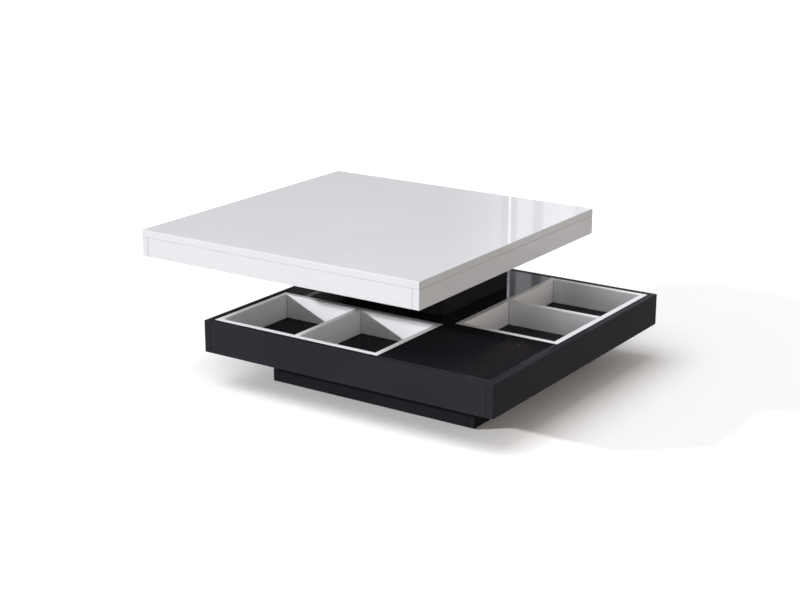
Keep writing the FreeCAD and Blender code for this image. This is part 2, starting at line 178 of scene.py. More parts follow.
# %% [markdown]
# ### New finishes
#
# Every finish starts the same way, from a new material and the place on the piece. Object coordinates
# give that place in metres, so that a pattern has the same scale on a small piece as on a large one.
# Relief is given in metres too, so that it can be thought of as the depth that it has on the real thing.

# %% New finishes
def new_finish(name):
    """A named material, with its tree, its shader and the place on the piece in metres."""
    finish = bpy.data.materials.new(name)
    finish.use_nodes = True
    tree = finish.node_tree
    shader = tree.nodes["Principled BSDF"]
    place = add_node(tree, "ShaderNodeTexCoord").outputs["Object"]
    return finish, tree, shader, place


def add_bump(tree, shader, height, depth):
    """A height of 0 to 1 becomes a relief of that depth, in metres."""
    node = add_node(tree, "ShaderNodeBump", inputs={"Distance": depth})
    join(tree, height, node.inputs["Height"])
    join(tree, node.outputs["Normal"], shader.inputs["Normal"])


# %% [markdown]
# ## Edges and joints
#
# Lacquer shows its use first along the edges, where the film is thin and gets rubbed. The edge colour
# also holds a painted highlight, a thin lighter line on each eased edge, and on the deck a painted shade,
# a dark border. Down in the joints the colour is painted shade, where little light reaches, and the film
# is rougher where dust settles. Both could be painted by hand, but here the shape finds them by itself,
# so they need no painting and stay right from every side.
#
# The Bevel node gives the normal that the surface would have if its edges were rounded. Where that
# differs from the true normal, there is an edge. The Ambient Occlusion node, kept to a reach of a few
# millimetres, says how closed in a point is, and so finds the joint between two boards.

# %% Edges and joints
def edge_mask(tree, width):
    """0 on flat faces and up to 1 along the edges of the shape."""
    rounded = add_node(tree, "ShaderNodeBevel", samples=6, inputs={"Radius": width})
    flat = add_node(tree, "ShaderNodeNewGeometry")
    compare = add_node(tree, "ShaderNodeVectorMath", operation="DOT_PRODUCT")
    join(tree, rounded.outputs["Normal"], compare.inputs[0])
    join(tree, flat.outputs["Normal"], compare.inputs[1])
    return spread(tree, compare.outputs["Value"], 1.0, 0.0, from_low=0.75, from_high=1.0)


def joint_shade_mask(tree, reach):
    """Where shade is painted: 0 in the open and up to 1 down in the grooves where two boards meet."""
    openness = add_node(tree, "ShaderNodeAmbientOcclusion", samples=8, inputs={"Distance": reach})
    return spread(tree, openness.outputs["AO"], 1.0, 0.0, from_low=0.35, from_high=0.78)


def facing_down(tree):
    """1 on faces that look at the floor, 0 on all others."""
    facing = add_node(tree, "ShaderNodeSeparateXYZ")
    join(tree, add_node(tree, "ShaderNodeTexCoord").outputs["Normal"], facing.inputs["Vector"])
    return spread(tree, facing.outputs["Z"], 1.0, 0.0, from_low=-0.95, from_high=-0.85)


# %% [markdown]
# ## High-gloss lacquer
#
# The boards are fibreboard under a thick sprayed lacquer. Gloss that good is nearly a mirror, so a
# plain low roughness looks like plastic film. Real lacquer gives itself away by three small things:
# a faint orange peel, about a centimetre across and some microns deep, which makes reflections swim;
# hazy patches where a cloth has wiped it; and edges where the film is thinner and a little rubbed.
# The edge colour also carries a painted highlight, and the colour down in the joints is painted shade.
#
# One function makes them all, because black and white differ only in their colours and in how
# strongly they mirror. The strength of the mirror is set by the refraction of the film.

# %% Lacquer
tone_scale = 4.0                # clouds of tone, about 25 cm across
wear_scale = 25.0               # worn stretches of an edge, about 4 cm long
haze_scale = 9.0                # wiped patches, about 11 cm across
clear_haze = 0.018              # roughness where the lacquer is clearest
wiped_haze = 0.042              # roughness of a wiped patch
rubbed_haze = 0.08              # roughness that a rubbed edge adds
joint_haze = 0.5                # roughness that the dust in a joint adds
joint_reach = 0.003
peel_scale = 110.0              # orange peel, about 9 mm across
peel_depth = 0.000007


def make_lacquer(name, deep, pale, edge, edge_width, joint, refraction, shaded_underside=None):
    """A lacquer clouded from deep to pale, with an edge colour of wear and painted highlight, a groove colour
    of painted shade, and a painted shaded lower face if asked.
    """
    finish, tree, shader, place = new_finish(name)
    shader.inputs["IOR"].default_value = refraction

    cloud = spread(tree, noise(tree, place, tone_scale, detail=3.0), 0.0, 1.0, from_low=0.35, from_high=0.65)
    colour = blend_colours(tree, cloud, deep, pale)
    # Faces that look down get a grey: painted shade on the panel's underside.
    if shaded_underside:
        colour = blend_colours(tree, facing_down(tree), colour, shaded_underside)
    patchy = spread(tree, noise(tree, place, wear_scale, detail=3.0), 0.5, 1.0, from_low=0.4, from_high=0.6)
    # The eased edges get the edge colour: rubbed wear with a painted highlight on most boards, painted shade
    # on the deck.
    edge_wear_and_painted_light = work_out(tree, "MULTIPLY", edge_mask(tree, edge_width), patchy)
    colour = blend_colours(tree, edge_wear_and_painted_light, colour, edge)
    # Down in the joints the colour is painted shade, and the film is rougher with dust.
    joint_shade_and_dust = joint_shade_mask(tree, joint_reach)
    colour = blend_colours(tree, joint_shade_and_dust, colour, joint)
    join(tree, colour, shader.inputs["Base Color"])

    wiping = noise(tree, place, haze_scale, detail=4.0, roughness=0.6)
    haze = spread(tree, wiping, clear_haze, wiped_haze, from_low=0.35, from_high=0.7)
    haze = work_out(tree, "ADD", haze, work_out(tree, "MULTIPLY", edge_wear_and_painted_light, rubbed_haze))
    haze = work_out(tree, "ADD", haze, work_out(tree, "MULTIPLY", joint_shade_and_dust, joint_haze))
    join(tree, haze, shader.inputs["Roughness"])

    add_bump(tree, shader, noise(tree, place, peel_scale, detail=1.0), peel_depth)
    return finish


print("orange peel:", round(1000 / peel_scale), "mm across,", round(1000000 * peel_depth), "microns deep")

# %% [markdown]
# ### Three blacks
#
# The base and the pedestal share one black, which leans to blue. The plinth below them is a shade
# deeper. The deck lies flat and mirrors the walls at a low angle, so it gets the stronger film of real
# lacquer with a deeper colour under it, and its eased borders are darker still, as painted shade. On
# the upright sides the film is kept weak, because there it would mirror the white floor and turn the
# black grey. The other boards' eased edges are painted a little lighter, as wear with a painted
# highlight, and their joints are nearly black, as painted shade.

# %% Black lacquers
black_tones = {
    "deep": (0.0222, 0.0215, 0.0275),
    "pale": (0.0255, 0.0247, 0.0310),
    # A little lighter on the eased edges: rubbed wear with a painted highlight.
    "edge": (0.0280, 0.0272, 0.0330),
    "edge_width": 0.0014,
    # Nearly black down in the joints: painted shade.
    "joint": (0.003, 0.003, 0.003),
    "refraction": 1.07,
}
plinth_tones = {
    **black_tones,
    "deep": (0.0165, 0.0160, 0.0205),
    "pale": (0.0190, 0.0184, 0.0232),
    # Lighter on the eased edges again: wear with a painted highlight.
    "edge": (0.0210, 0.0204, 0.0248),
}
deck_tones = {
    "deep": (0.0120, 0.0117, 0.0150),
    "pale": (0.0140, 0.0136, 0.0172),
    # A dark border on the deck's eased edges: painted shade.
    "edge": (0.0030, 0.0030, 0.0035),
    "edge_width": 0.0040,
    # Darker still in the joints: painted shade.
    "joint": (0.002, 0.002, 0.002),
    "refraction": 1.40,
}
black_lacquer = make_lacquer("black_lacquer", **black_tones)
plinth_lacquer = make_lacquer("plinth_lacquer", **plinth_tones)
deck_lacquer = make_lacquer("deck_lacquer", **deck_tones)
print("blacks:", black_lacquer.name, plinth_lacquer.name, deck_lacquer.name)

# %% [markdown]
# ### Three whites
#
# The top and its rails are a cool white with a clear gloss. The panel's underside is painted grey,
# as painted shade on the face that looks down. That could be a second material on the lower face, but
# the solids' meshes stay as they are, so the tree asks which way the surface looks. The tray boards are
# painted whiter, as painted light in the trays under the top, and they are satin rather than glossy, so
# their film hardly mirrors.

# %% White lacquers
white_tones = {
    "deep": (0.672, 0.686, 0.712),
    "pale": (0.689, 0.701, 0.725),
    # Lighter on the eased edges: rubbed wear with a painted highlight.
    "edge": (0.75, 0.75, 0.76),
    "edge_width": 0.0014,
    # Dark grey in the joints: painted shade.
    "joint": (0.10, 0.10, 0.105),
    "refraction": 1.45,
}
# The tray boards are painted whiter than the top: painted light in the trays under the top.
lit_tray_tones = {
    **white_tones,
    "deep": (0.885, 0.904, 0.936),
    "pale": (0.900, 0.916, 0.944),
    "edge": (0.93, 0.94, 0.95),
    "refraction": 1.12,
}
# A grey painted on the faces that look down: painted shade on the panel's underside.
underside_shade_grey = (0.22, 0.22, 0.225)
white_lacquer = make_lacquer("white_lacquer", **white_tones)
panel_lacquer = make_lacquer("panel_lacquer", **white_tones, shaded_underside=underside_shade_grey)
tray_lacquer = make_lacquer("tray_lacquer", **lit_tray_tones)
print("whites:", white_lacquer.name, panel_lacquer.name, tray_lacquer.name)

# %% [markdown]
# ## Bare fibreboard
#
# Inside the table nothing is lacquered. The ribs, blocks, battens and mounting board are raw fibreboard,
# brown and felted. Two noises make it, fine fibres and larger flecks of darker chips, because the two
# sizes together are what tells board from cork or cloth. Cut edges are a little paler.

# %% Bare board
fibre_scale = 700.0
fleck_scale = 160.0
fibre_share = 0.6
dark_board = (0.30, 0.19, 0.105)
pale_board = (0.47, 0.33, 0.195)
cut_board = (0.52, 0.38, 0.24)
felt_depth = 0.00012

raw_board, tree, shader, place = new_finish("raw_board")
fibres = noise(tree, place, fibre_scale, detail=4.0, roughness=0.7)
flecks = noise(tree, place, fleck_scale, detail=3.0, roughness=0.6)
fine = work_out(tree, "MULTIPLY", fibres, fibre_share)
coarse = work_out(tree, "MULTIPLY", flecks, 1.0 - fibre_share)
felted = work_out(tree, "ADD", fine, coarse)
tone = spread(tree, felted, 0.0, 1.0, from_low=0.36, from_high=0.64)
colour = blend_colours(tree, tone, dark_board, pale_board)
colour = blend_colours(tree, edge_mask(tree, width=0.0012), colour, cut_board)
join(tree, colour, shader.inputs["Base Color"])
join(tree, spread(tree, fibres, 0.68, 0.9, from_low=0.3, from_high=0.7), shader.inputs["Roughness"])
add_bump(tree, shader, felted, felt_depth)
print("bare board:", len(tree.nodes), "nodes")

# %% [markdown]
# ## Beech
#
# The dowels are beech, with the grain along each dowel and short dark flecks in it. Object coordinates
# would run the grain the same way through all of them, so each dowel brings its own coordinates and a
# random shift with it, stored as attributes. They are made further down, with the dowels.

# %% Beech
grain_stretch = (1.0, 1.0, 0.12)        # the third way is along the dowel
growth_scale = 420.0
beech_fleck_scale = 1800.0
dark_beech = (0.50, 0.31, 0.155)
pale_beech = (0.66, 0.46, 0.26)
fleck_beech = (0.36, 0.20, 0.09)
grain_depth = 0.00008

dowel_wood, tree, shader, _ = new_finish("dowel_wood")
own_place = add_node(tree, "ShaderNodeAttribute", attribute_name="grain").outputs["Vector"]
own_shift = add_node(tree, "ShaderNodeAttribute", attribute_name="shift").outputs["Vector"]
moved = add_node(tree, "ShaderNodeVectorMath", operation="ADD")
join(tree, own_place, moved.inputs[0])
join(tree, own_shift, moved.inputs[1])
along_grain = add_node(tree, "ShaderNodeMapping", inputs={"Scale": grain_stretch})
join(tree, moved.outputs["Vector"], along_grain.inputs["Vector"])
grain_place = along_grain.outputs["Vector"]
flecks = noise(tree, grain_place, beech_fleck_scale, detail=2.0, roughness=0.6)
growth = noise(tree, grain_place, growth_scale, detail=3.0, roughness=0.6)
tone = spread(tree, growth, 0.0, 1.0, from_low=0.32, from_high=0.68)
colour = blend_colours(tree, tone, dark_beech, pale_beech)
dots = spread(tree, flecks, 0.0, 0.6, from_low=0.6, from_high=0.72)
join(tree, blend_colours(tree, dots, colour, fleck_beech), shader.inputs["Base Color"])
join(tree, spread(tree, flecks, 0.45, 0.7, from_low=0.3, from_high=0.7), shader.inputs["Roughness"])
add_bump(tree, shader, growth, grain_depth)
print("beech:", len(tree.nodes), "nodes")

# %% [markdown]
# ## Steel
#
# The bearing plates and the fasteners are zinc-plated, with the cloudy bluish bloom that the plating
# leaves and brighter rubbed edges. A plain grey metal would look like chrome, so one cloud drives both
# the colour and the roughness. The balls are polished, so they have less bloom and a clearer mirror.
# Both are the same tree with other values.

# %% Steel
rubbed_steel = (0.78, 0.78, 0.78)
steel_edge = 0.0004
steel_relief = 0.00001


def make_steel(name, dull, bright, rough_low, rough_high, bloom_scale):
    """A clouded metal: the brighter the bloom, the smoother it is."""
    finish, tree, shader, place = new_finish(name)
    shader.inputs["Metallic"].default_value = 1.0
    bloom = noise(tree, place, bloom_scale, detail=4.0, roughness=0.6)
    tone = spread(tree, bloom, 0.0, 1.0, from_low=0.35, from_high=0.65)
    colour = blend_colours(tree, tone, dull, bright)
    colour = blend_colours(tree, edge_mask(tree, steel_edge), colour, rubbed_steel)
    join(tree, colour, shader.inputs["Base Color"])
    smoothness = spread(tree, bloom, rough_high, rough_low, from_low=0.3, from_high=0.7)
    join(tree, smoothness, shader.inputs["Roughness"])
    add_bump(tree, shader, noise(tree, place, 8.0 * bloom_scale), steel_relief)
    return finish


zinc_steel = make_steel("zinc_steel", (0.46, 0.48, 0.51), (0.66, 0.67, 0.66), 0.24, 0.42, bloom_scale=140.0)
ball_steel = make_steel("ball_steel", (0.62, 0.62, 0.63), (0.7, 0.7, 0.71), 0.05, 0.11, bloom_scale=220.0)
print("steels:", zinc_steel.name, ball_steel.name)

# %% [markdown]
# ## Plastic
#
# The ball cage is pale nylon and the glides are black plastic. Moulded plastic has a fine even grain,
# slight clouds in its colour, and edges that scuff to a paler tone. The grain drives the roughness and
# the relief together, because on the real thing both come from the wall of the mould.

# %% Plastics
mould_grain_scale = 1500.0
plastic_cloud_scale = 120.0
plastic_edge = 0.0005
mould_grain_depth = 0.00002


def make_plastic(name, deep, pale, rough_low, rough_high):
    """A moulded plastic, clouded from deep to pale."""
    finish, tree, shader, place = new_finish(name)
    grain = noise(tree, place, mould_grain_scale)
    cloud = noise(tree, place, plastic_cloud_scale, detail=3.0)
    tone = spread(tree, cloud, 0.0, 1.0, from_low=0.35, from_high=0.65)
    colour = blend_colours(tree, tone, deep, pale)
    scuffed = tuple(0.8 * channel + 0.12 for channel in pale)
    colour = blend_colours(tree, edge_mask(tree, plastic_edge), colour, scuffed)
    join(tree, colour, shader.inputs["Base Color"])
    roughness = spread(tree, grain, rough_low, rough_high, from_low=0.3, from_high=0.7)
    join(tree, roughness, shader.inputs["Roughness"])
    add_bump(tree, shader, grain, mould_grain_depth)
    return finish


cage_plastic = make_plastic("cage_plastic", (0.66, 0.65, 0.6), (0.76, 0.75, 0.7), 0.35, 0.5)
glide_plastic = make_plastic("glide_plastic", (0.018, 0.018, 0.018), (0.03, 0.03, 0.03), 0.4, 0.6)
print("plastics:", cage_plastic.name, glide_plastic.name)

# %% [markdown]
# ## Dress the boards
#
# The record names a finish for every node. A loop gives each solid the material for that name, so no
# board is forgotten when one is added. A few boards differ from the rest of their colour: the panel,
# the deck, the tray boards and the plinth.

# %% Dress the solids
finish_named = {
    "black_lacquer": black_lacquer,
    "white_lacquer": white_lacquer,
    "raw_board": raw_board,
    "dowel_wood": dowel_wood,
    "zinc_steel": zinc_steel,
    "ball_steel": ball_steel,
    "cage_plastic": cage_plastic,
    "glide_plastic": glide_plastic,
}
own_finish = {"top_panel": panel_lacquer, "deck_main": deck_lacquer, "deck_corner": deck_lacquer}
for side in ("left", "right", "front", "back"):
    own_finish["plinth_" + side] = plinth_lacquer
for node_name in frame["nodes"]:
    # The tray boards get the whiter tray lacquer, which holds painted light.
    if "_tray_" in node_name:
        own_finish[node_name] = tray_lacquer

for part in frame["record"]["subparts"]:
    finish = own_finish.get(part["node"], finish_named[part["material_slot"]])
    for material_slot in frame["nodes"][part["node"]].material_slots:
        material_slot.material = finish
print("dressed", len(frame["nodes"]), "nodes,", len(own_finish), "of them in a finish of their own")

# %% [markdown]
# ## Dowels, screws, bolts, balls and glides
#
# Most of the fasteners are out of sight, but they are what holds the boards together, so each is made
# as the thing it is: a fluted beech dowel, a screw with a thread and a cross in its head, the bolt of
# a cam lock, a polished ball, a domed glide. They come in sets, and one is like the next. Copying
# objects by hand would work too, but a Geometry Nodes tree keeps the sizes in one place: each kind is
# built once, from named sizes, and set on points.
#
# The points come from the solids. A node that holds a set is first cut into its separate solids, by
# walking from corner to corner along the edges of a merged copy of its mesh.

# %% Separate the solids
merge_distance = 0.000001


def separate_solids(node_name):
    """The corner points of each separate solid of a node, from a merged copy of its mesh."""
    merged = bmesh.new()
    merged.from_mesh(frame["nodes"][node_name].data)
    bmesh.ops.remove_doubles(merged, verts=merged.verts, dist=merge_distance)
    merged.verts.index_update()
    found = [False] * len(merged.verts)
    solids = []
    for first in merged.verts:
        if found[first.index]:
            continue
        found[first.index] = True
        cluster = [first]
        for corner in cluster:
            for edge in corner.link_edges:
                neighbour = edge.other_vert(corner)
                if not found[neighbour.index]:
                    found[neighbour.index] = True
                    cluster.append(neighbour)
        solids.append([corner.co.copy() for corner in cluster])
    merged.free()
    return solids


print("balls in the bearing:", len(separate_solids("bearing_balls")))

# %% [markdown]
# The box of a solid gives the line that a fastener lies on: its longest side, or for a short wide glide
# its shortest one. The wider end is the head. Where both ends are alike, as on a bolt, the head is the
# end that lies nearer to a place that is given. The head becomes the point, and an arrow stored with it
# says which way the fastener goes in.

# %% Find the seats
end_slice = 0.0005


def seat_of(points, heads_near=()):
    """The head end of a fastener, the way it points from there, and its length."""
    low = Vector([min(point[i] for point in points) for i in range(3)])
    high = Vector([max(point[i] for point in points) for i in range(3)])
    sides = high - low
    shortest, middling, longest = sorted(range(3), key=lambda i: sides[i])
    is_long = sides[longest] - sides[middling] > sides[middling] - sides[shortest]
    axis = longest if is_long else shortest
    ends = [(low + high) / 2, (low + high) / 2]
    ends[0][axis] = low[axis]
    ends[1][axis] = high[axis]

    def bulk(end):
        near = [point for point in points if abs(point[axis] - end[axis]) < end_slice]
        return round(max((point - end).length for point in near), 4), len(near)

    def distance(end):
        return min((end - place).length for place in heads_near)

    head = min(ends, key=distance) if heads_near else max(ends, key=bulk)
    tail = ends[1] if head is ends[0] else ends[0]
    return head, (tail - head).normalized(), (tail - head).length


def make_seats(name, node_name, heads_near=()):
    """An object with one point for each fastener of a node, with its arrow, and the fasteners' length."""
    seats = [seat_of(points, heads_near) for points in separate_solids(node_name)]
    mesh = bpy.data.meshes.new(name)
    mesh.from_pydata([head for head, aim, length in seats], [], [])
    arrows = mesh.attributes.new("aim", "FLOAT_VECTOR", "POINT")
    for arrow, (head, aim, length) in zip(arrows.data, seats):
        arrow.vector = aim
    holder = bpy.data.objects.new(name, mesh)
    scene.collection.objects.link(holder)
    return holder, seats[0][2]


head, aim, length = seat_of(separate_solids("top_screws")[0])
print("first top screw: head at", [round(v, 3) for v in head], "pointing", [round(v) for v in aim])
print("its length is", round(1000 * length, 1), "mm")

# %% [markdown]
# ### Trees with named sizes
#
# A tree starts with one input for the seats and one for every size of the fastener. Numbers could sit
# inside the tree, but as inputs they have names, and the length can be set for each kind that uses it.

# %% Trees
def new_tree(name, sizes):
    """A Geometry Nodes tree with named sizes, and the outputs of its input node."""
    tree = bpy.data.node_groups.new(name, "GeometryNodeTree")
    tree.interface.new_socket("Seats", in_out="INPUT", socket_type="NodeSocketGeometry")
    for size_name, value in sizes.items():
        socket = tree.interface.new_socket(size_name, in_out="INPUT", socket_type="NodeSocketFloat")
        socket.default_value = value
    tree.interface.new_socket("Pieces", in_out="OUTPUT", socket_type="NodeSocketGeometry")
    return tree, add_node(tree, "NodeGroupInput").outputs


# %% [markdown]
# ### Copies on the seats
#
# The end of the tree is the same for every kind: turn each copy along its arrow, spin it by a random
# angle as a hand would leave it, make the copies real and give them their material. The random values
# have a fixed seed, so the table is the same each time. Every piece also stores its own coordinates
# and a random shift, which the beech above reads.

# %% Copies on the seats
def keep_vectors(tree, geometry, name, vectors):
    """The geometry with a vector stored on each of its points, under that name."""
    store = add_node(tree, "GeometryNodeStoreNamedAttribute", data_type="FLOAT_VECTOR", domain="POINT")
    store.inputs["Name"].default_value = name
    join(tree, geometry, store.inputs["Geometry"])
    join(tree, vectors, store.inputs["Value"])
    return store.outputs["Geometry"]


def along_arrows(tree, seed):
    """The turn that lays a copy along its arrow and spins it by a random angle."""
    arrow = add_node(tree, "GeometryNodeInputNamedAttribute", data_type="FLOAT_VECTOR")
    arrow.inputs["Name"].default_value = "aim"
    along = add_node(tree, "FunctionNodeAlignRotationToVector", axis="Z")
    join(tree, arrow.outputs["Attribute"], along.inputs["Vector"])
    share = add_node(tree, "FunctionNodeRandomValue", data_type="FLOAT", inputs={"Seed": seed})
    angle = work_out(tree, "MULTIPLY", share.outputs[1], 2.0 * math.pi)
    turn = add_node(tree, "FunctionNodeAxisAngleToRotation", inputs={"Axis": (0.0, 0.0, 1.0)})
    join(tree, angle, turn.inputs["Angle"])
    spun = add_node(tree, "FunctionNodeRotateRotation", rotation_space="LOCAL")
    join(tree, along.outputs["Rotation"], spun.inputs["Rotation"])
    join(tree, turn.outputs["Rotation"], spun.inputs["Rotate By"])
    return spun.outputs["Rotation"]


def set_on_seats(tree, given, shapes, finish, seed):
    """Joins the shapes, sets a copy on every seat along its arrow, and ends the tree."""
    piece = add_node(tree, "GeometryNodeJoinGeometry")
    for shape in shapes:
        join(tree, shape, piece.inputs["Geometry"])
    position = add_node(tree, "GeometryNodeInputPosition").outputs["Position"]
    marked_piece = keep_vectors(tree, piece.outputs["Geometry"], "grain", position)
    shift = add_node(tree, "FunctionNodeRandomValue", data_type="FLOAT_VECTOR", inputs={"Seed": seed})
    marked_seats = keep_vectors(tree, given["Seats"], "shift", shift.outputs["Value"])

    copies = add_node(tree, "GeometryNodeInstanceOnPoints")
    join(tree, marked_seats, copies.inputs["Points"])
    join(tree, marked_piece, copies.inputs["Instance"])
    join(tree, along_arrows(tree, seed + 1), copies.inputs["Rotation"])
    real = add_node(tree, "GeometryNodeRealizeInstances")
    join(tree, copies.outputs["Instances"], real.inputs["Geometry"])
    dressed = add_node(tree, "GeometryNodeSetMaterial", inputs={"Material": finish})
    join(tree, real.outputs["Geometry"], dressed.inputs["Geometry"])
    join(tree, dressed.outputs["Geometry"], add_node(tree, "NodeGroupOutput").inputs["Pieces"])


# %% [markdown]
# ### From the tree to a piece
#
# With the tree on its seats, the modifier's length is set by the identifier of its socket, the evaluated
# result becomes a plain mesh, and the modifier goes. The piece then rides on the body of the solids that
# it stands for, and hides them.

# %% Set a kind of fastener
crease_angle = math.radians(40.0)


def make_set(tree, node_name, body, suffix, heads_near=()):
    """All fasteners of a node in one piece, made by the tree and riding on that body."""
    holder, length = make_seats(node_name + "_" + suffix, node_name, heads_near)
    modifier = holder.modifiers.new("set_on_seats", "NODES")
    modifier.node_group = tree
    for item in tree.interface.items_tree:
        if item.name == "Length":
            modifier[item.identifier] = length
    graph = bpy.context.evaluated_depsgraph_get()
    evaluated = holder.evaluated_get(graph)
    plain = bpy.data.meshes.new_from_object(evaluated, preserve_all_data_layers=True, depsgraph=graph)
    holder.modifiers.remove(modifier)
    points = holder.data
    count = len(points.vertices)
    holder.data = plain
    bpy.data.meshes.remove(points)
    plain.shade_smooth()
    plain.set_sharp_from_angle(angle=crease_angle)
    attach(holder, body)
    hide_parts(node_name)
    print(holder.name, "-", count, "of", round(1000 * length, 1), "mm,", len(plain.polygons), "faces")


# %% [markdown]
# ### Turned shapes
#
# Dowels, screws, bolts and glides are all turned shapes, and a turned shape is a stack of rings. The
# tree starts from a plain cylinder with the right number of rings, and a Set Position node gives every
# ring its own radius and height, picked by an Index Switch.

# %% Turned shapes
def pick(tree, index, values):
    """The value with that index, from a row of outputs and plain numbers."""
    switch = add_node(tree, "GeometryNodeIndexSwitch", data_type="FLOAT")
    while len(switch.index_switch_items) < len(values):
        switch.index_switch_items.new()
    join(tree, index, switch.inputs[0])
    for socket, value in zip(list(switch.inputs)[1:], values):
        feed(tree, socket, value)
    return switch.outputs[0]


def turned(tree, sides, rings, flute=None):
    """A closed turned shape: rings of (radius, height) from the head end on, with flutes if asked."""
    last_ring = len(rings) - 1
    shape = {"Vertices": sides, "Side Segments": last_ring, "Radius": 1.0, "Depth": 1.0}
    blank = add_node(tree, "GeometryNodeMeshCylinder", fill_type="NGON", inputs=shape)
    around = add_node(tree, "ShaderNodeSeparateXYZ")
    join(tree, add_node(tree, "GeometryNodeInputPosition").outputs["Position"], around.inputs[0])
    level = work_out(tree, "ADD", around.outputs["Z"], 0.5)
    ring = work_out(tree, "ROUND", work_out(tree, "MULTIPLY", level, float(last_ring)), 0.0)
    radius = pick(tree, ring, [radius for radius, height in rings])
    if flute:
        every_other = work_out(tree, "MODULO", add_node(tree, "GeometryNodeInputIndex").outputs[0], 2.0)
        radius = work_out(tree, "SUBTRACT", radius, work_out(tree, "MULTIPLY", every_other, flute))
    place = add_node(tree, "ShaderNodeCombineXYZ")
    join(tree, work_out(tree, "MULTIPLY", around.outputs["X"], radius), place.inputs["X"])
    join(tree, work_out(tree, "MULTIPLY", around.outputs["Y"], radius), place.inputs["Y"])
    join(tree, pick(tree, ring, [height for radius, height in rings]), place.inputs["Z"])
    moved = add_node(tree, "GeometryNodeSetPosition")
    join(tree, blank.outputs["Mesh"], moved.inputs["Geometry"])
    join(tree, place.outputs["Vector"], moved.inputs["Position"])
    return moved.outputs["Geometry"]


# %% [markdown]
# ### Dowels
#
# A glued dowel has straight flutes, so that air and spare glue can leave the hole, and chamfered ends,
# so that it starts easily. The flutes could be cut one by one, but it costs no more faces to draw in
# every second corner of the ring a little.

# %% Dowels
dowel_sides = 40
dowel_sizes = {"Length": 0.030, "Radius": 0.004, "Chamfer": 0.0008, "Flute": 0.0003}
dowel_tree, given = new_tree("fluted_dowel", dowel_sizes)
end_radius = work_out(dowel_tree, "SUBTRACT", given["Radius"], given["Chamfer"])
last_shoulder = work_out(dowel_tree, "SUBTRACT", given["Length"], given["Chamfer"])
dowel_rings = [
    (end_radius, 0.0),
    (given["Radius"], given["Chamfer"]),
    (given["Radius"], last_shoulder),
    (end_radius, given["Length"]),
]
dowel = turned(dowel_tree, dowel_sides, dowel_rings, given["Flute"])
set_on_seats(dowel_tree, given, [dowel], dowel_wood, seed=11)
for node_name in ("plinth_dowels", "base_dowels", "deck_dowels", "pedestal_dowels"):
    make_set(dowel_tree, node_name, "base", "fluted")
make_set(dowel_tree, "top_dowels", "top", "fluted")

# %% [markdown]
# ### Threads and crosses
#
# A thread could be cut into the shank, but a ridge laid round it needs fewer faces and stays closed: a
# diamond swept along a spiral. The cross for the driver is cut into the head with two bars.

# %% Threads and crosses
steps_in_a_turn = 12


def lifted(tree, shape, height):
    """The shape, moved along the axis of the fastener."""
    lift = add_node(tree, "ShaderNodeCombineXYZ")
    join(tree, height, lift.inputs["Z"])
    moved = add_node(tree, "GeometryNodeTransform")
    join(tree, shape, moved.inputs["Geometry"])
    join(tree, lift.outputs["Vector"], moved.inputs["Translation"])
    return moved.outputs["Geometry"]


def threaded(tree, core, start, length, pitch, ridge):
    """A thread as a closed ridge round the core: a diamond swept along a spiral."""
    spiral = add_node(tree, "GeometryNodeCurveSpiral", inputs={"Resolution": steps_in_a_turn})
    join(tree, work_out(tree, "DIVIDE", length, pitch), spiral.inputs["Rotations"])
    join(tree, core, spiral.inputs["Start Radius"])
    join(tree, core, spiral.inputs["End Radius"])
    join(tree, length, spiral.inputs["Height"])
    upright = add_node(tree, "GeometryNodeSetCurveNormal", mode="Z_UP")
    join(tree, spiral.outputs["Curve"], upright.inputs["Curve"])
    diamond = add_node(tree, "GeometryNodeCurvePrimitiveCircle", inputs={"Resolution": 4})
    join(tree, ridge, diamond.inputs["Radius"])
    swept = add_node(tree, "GeometryNodeCurveToMesh", inputs={"Fill Caps": True})
    join(tree, upright.outputs["Curve"], swept.inputs["Curve"])
    join(tree, diamond.outputs["Curve"], swept.inputs["Profile Curve"])
    return lifted(tree, swept.outputs["Mesh"], start)


def cross_cut(tree, shape, length, width, depth):
    """The shape with a cross recess sunk into its head end."""
    cut = add_node(tree, "GeometryNodeMeshBoolean", operation="DIFFERENCE", solver="EXACT")
    join(tree, shape, cut.inputs["Mesh 1"])
    for size in ((length, width, 2.0 * depth), (width, length, 2.0 * depth)):
        bar = add_node(tree, "GeometryNodeMeshCube", inputs={"Size": size})
        join(tree, bar.outputs["Mesh"], cut.inputs["Mesh 2"])
    return cut.outputs["Mesh"]


# %% [markdown]
# ### Screws
#
# Chipboard screws with a flat head hold the boards, and screws with a round head hold the two bearing
# plates. Both have a slim core, a coarse thread, a point and a cross in the head. Only the head's
# rings differ, so one function makes both trees.

# %% Screws
screw_sides = 16
screw_sizes = {
    "Length": 0.040,
    "Head": 0.0040,
    "Core": 0.00135,
    "Pitch": 0.0018,
    "Ridge": 0.0005,
    "Point": 0.0035,
}
thread_start = 0.0042
tip_radius = 0.0001
cross_size = {"length": 0.0044, "width": 0.0009, "depth": 0.0012}
# Head rings: a share of the head's radius, and a height in metres.
flat_head = [(0.93, 0.0), (0.96, 0.00015), (0.45, 0.0022)]
round_head = [(0.50, 0.0), (0.80, 0.0003), (0.95, 0.0009), (0.99, 0.0015), (0.99, 0.0022), (0.96, 0.0024)]


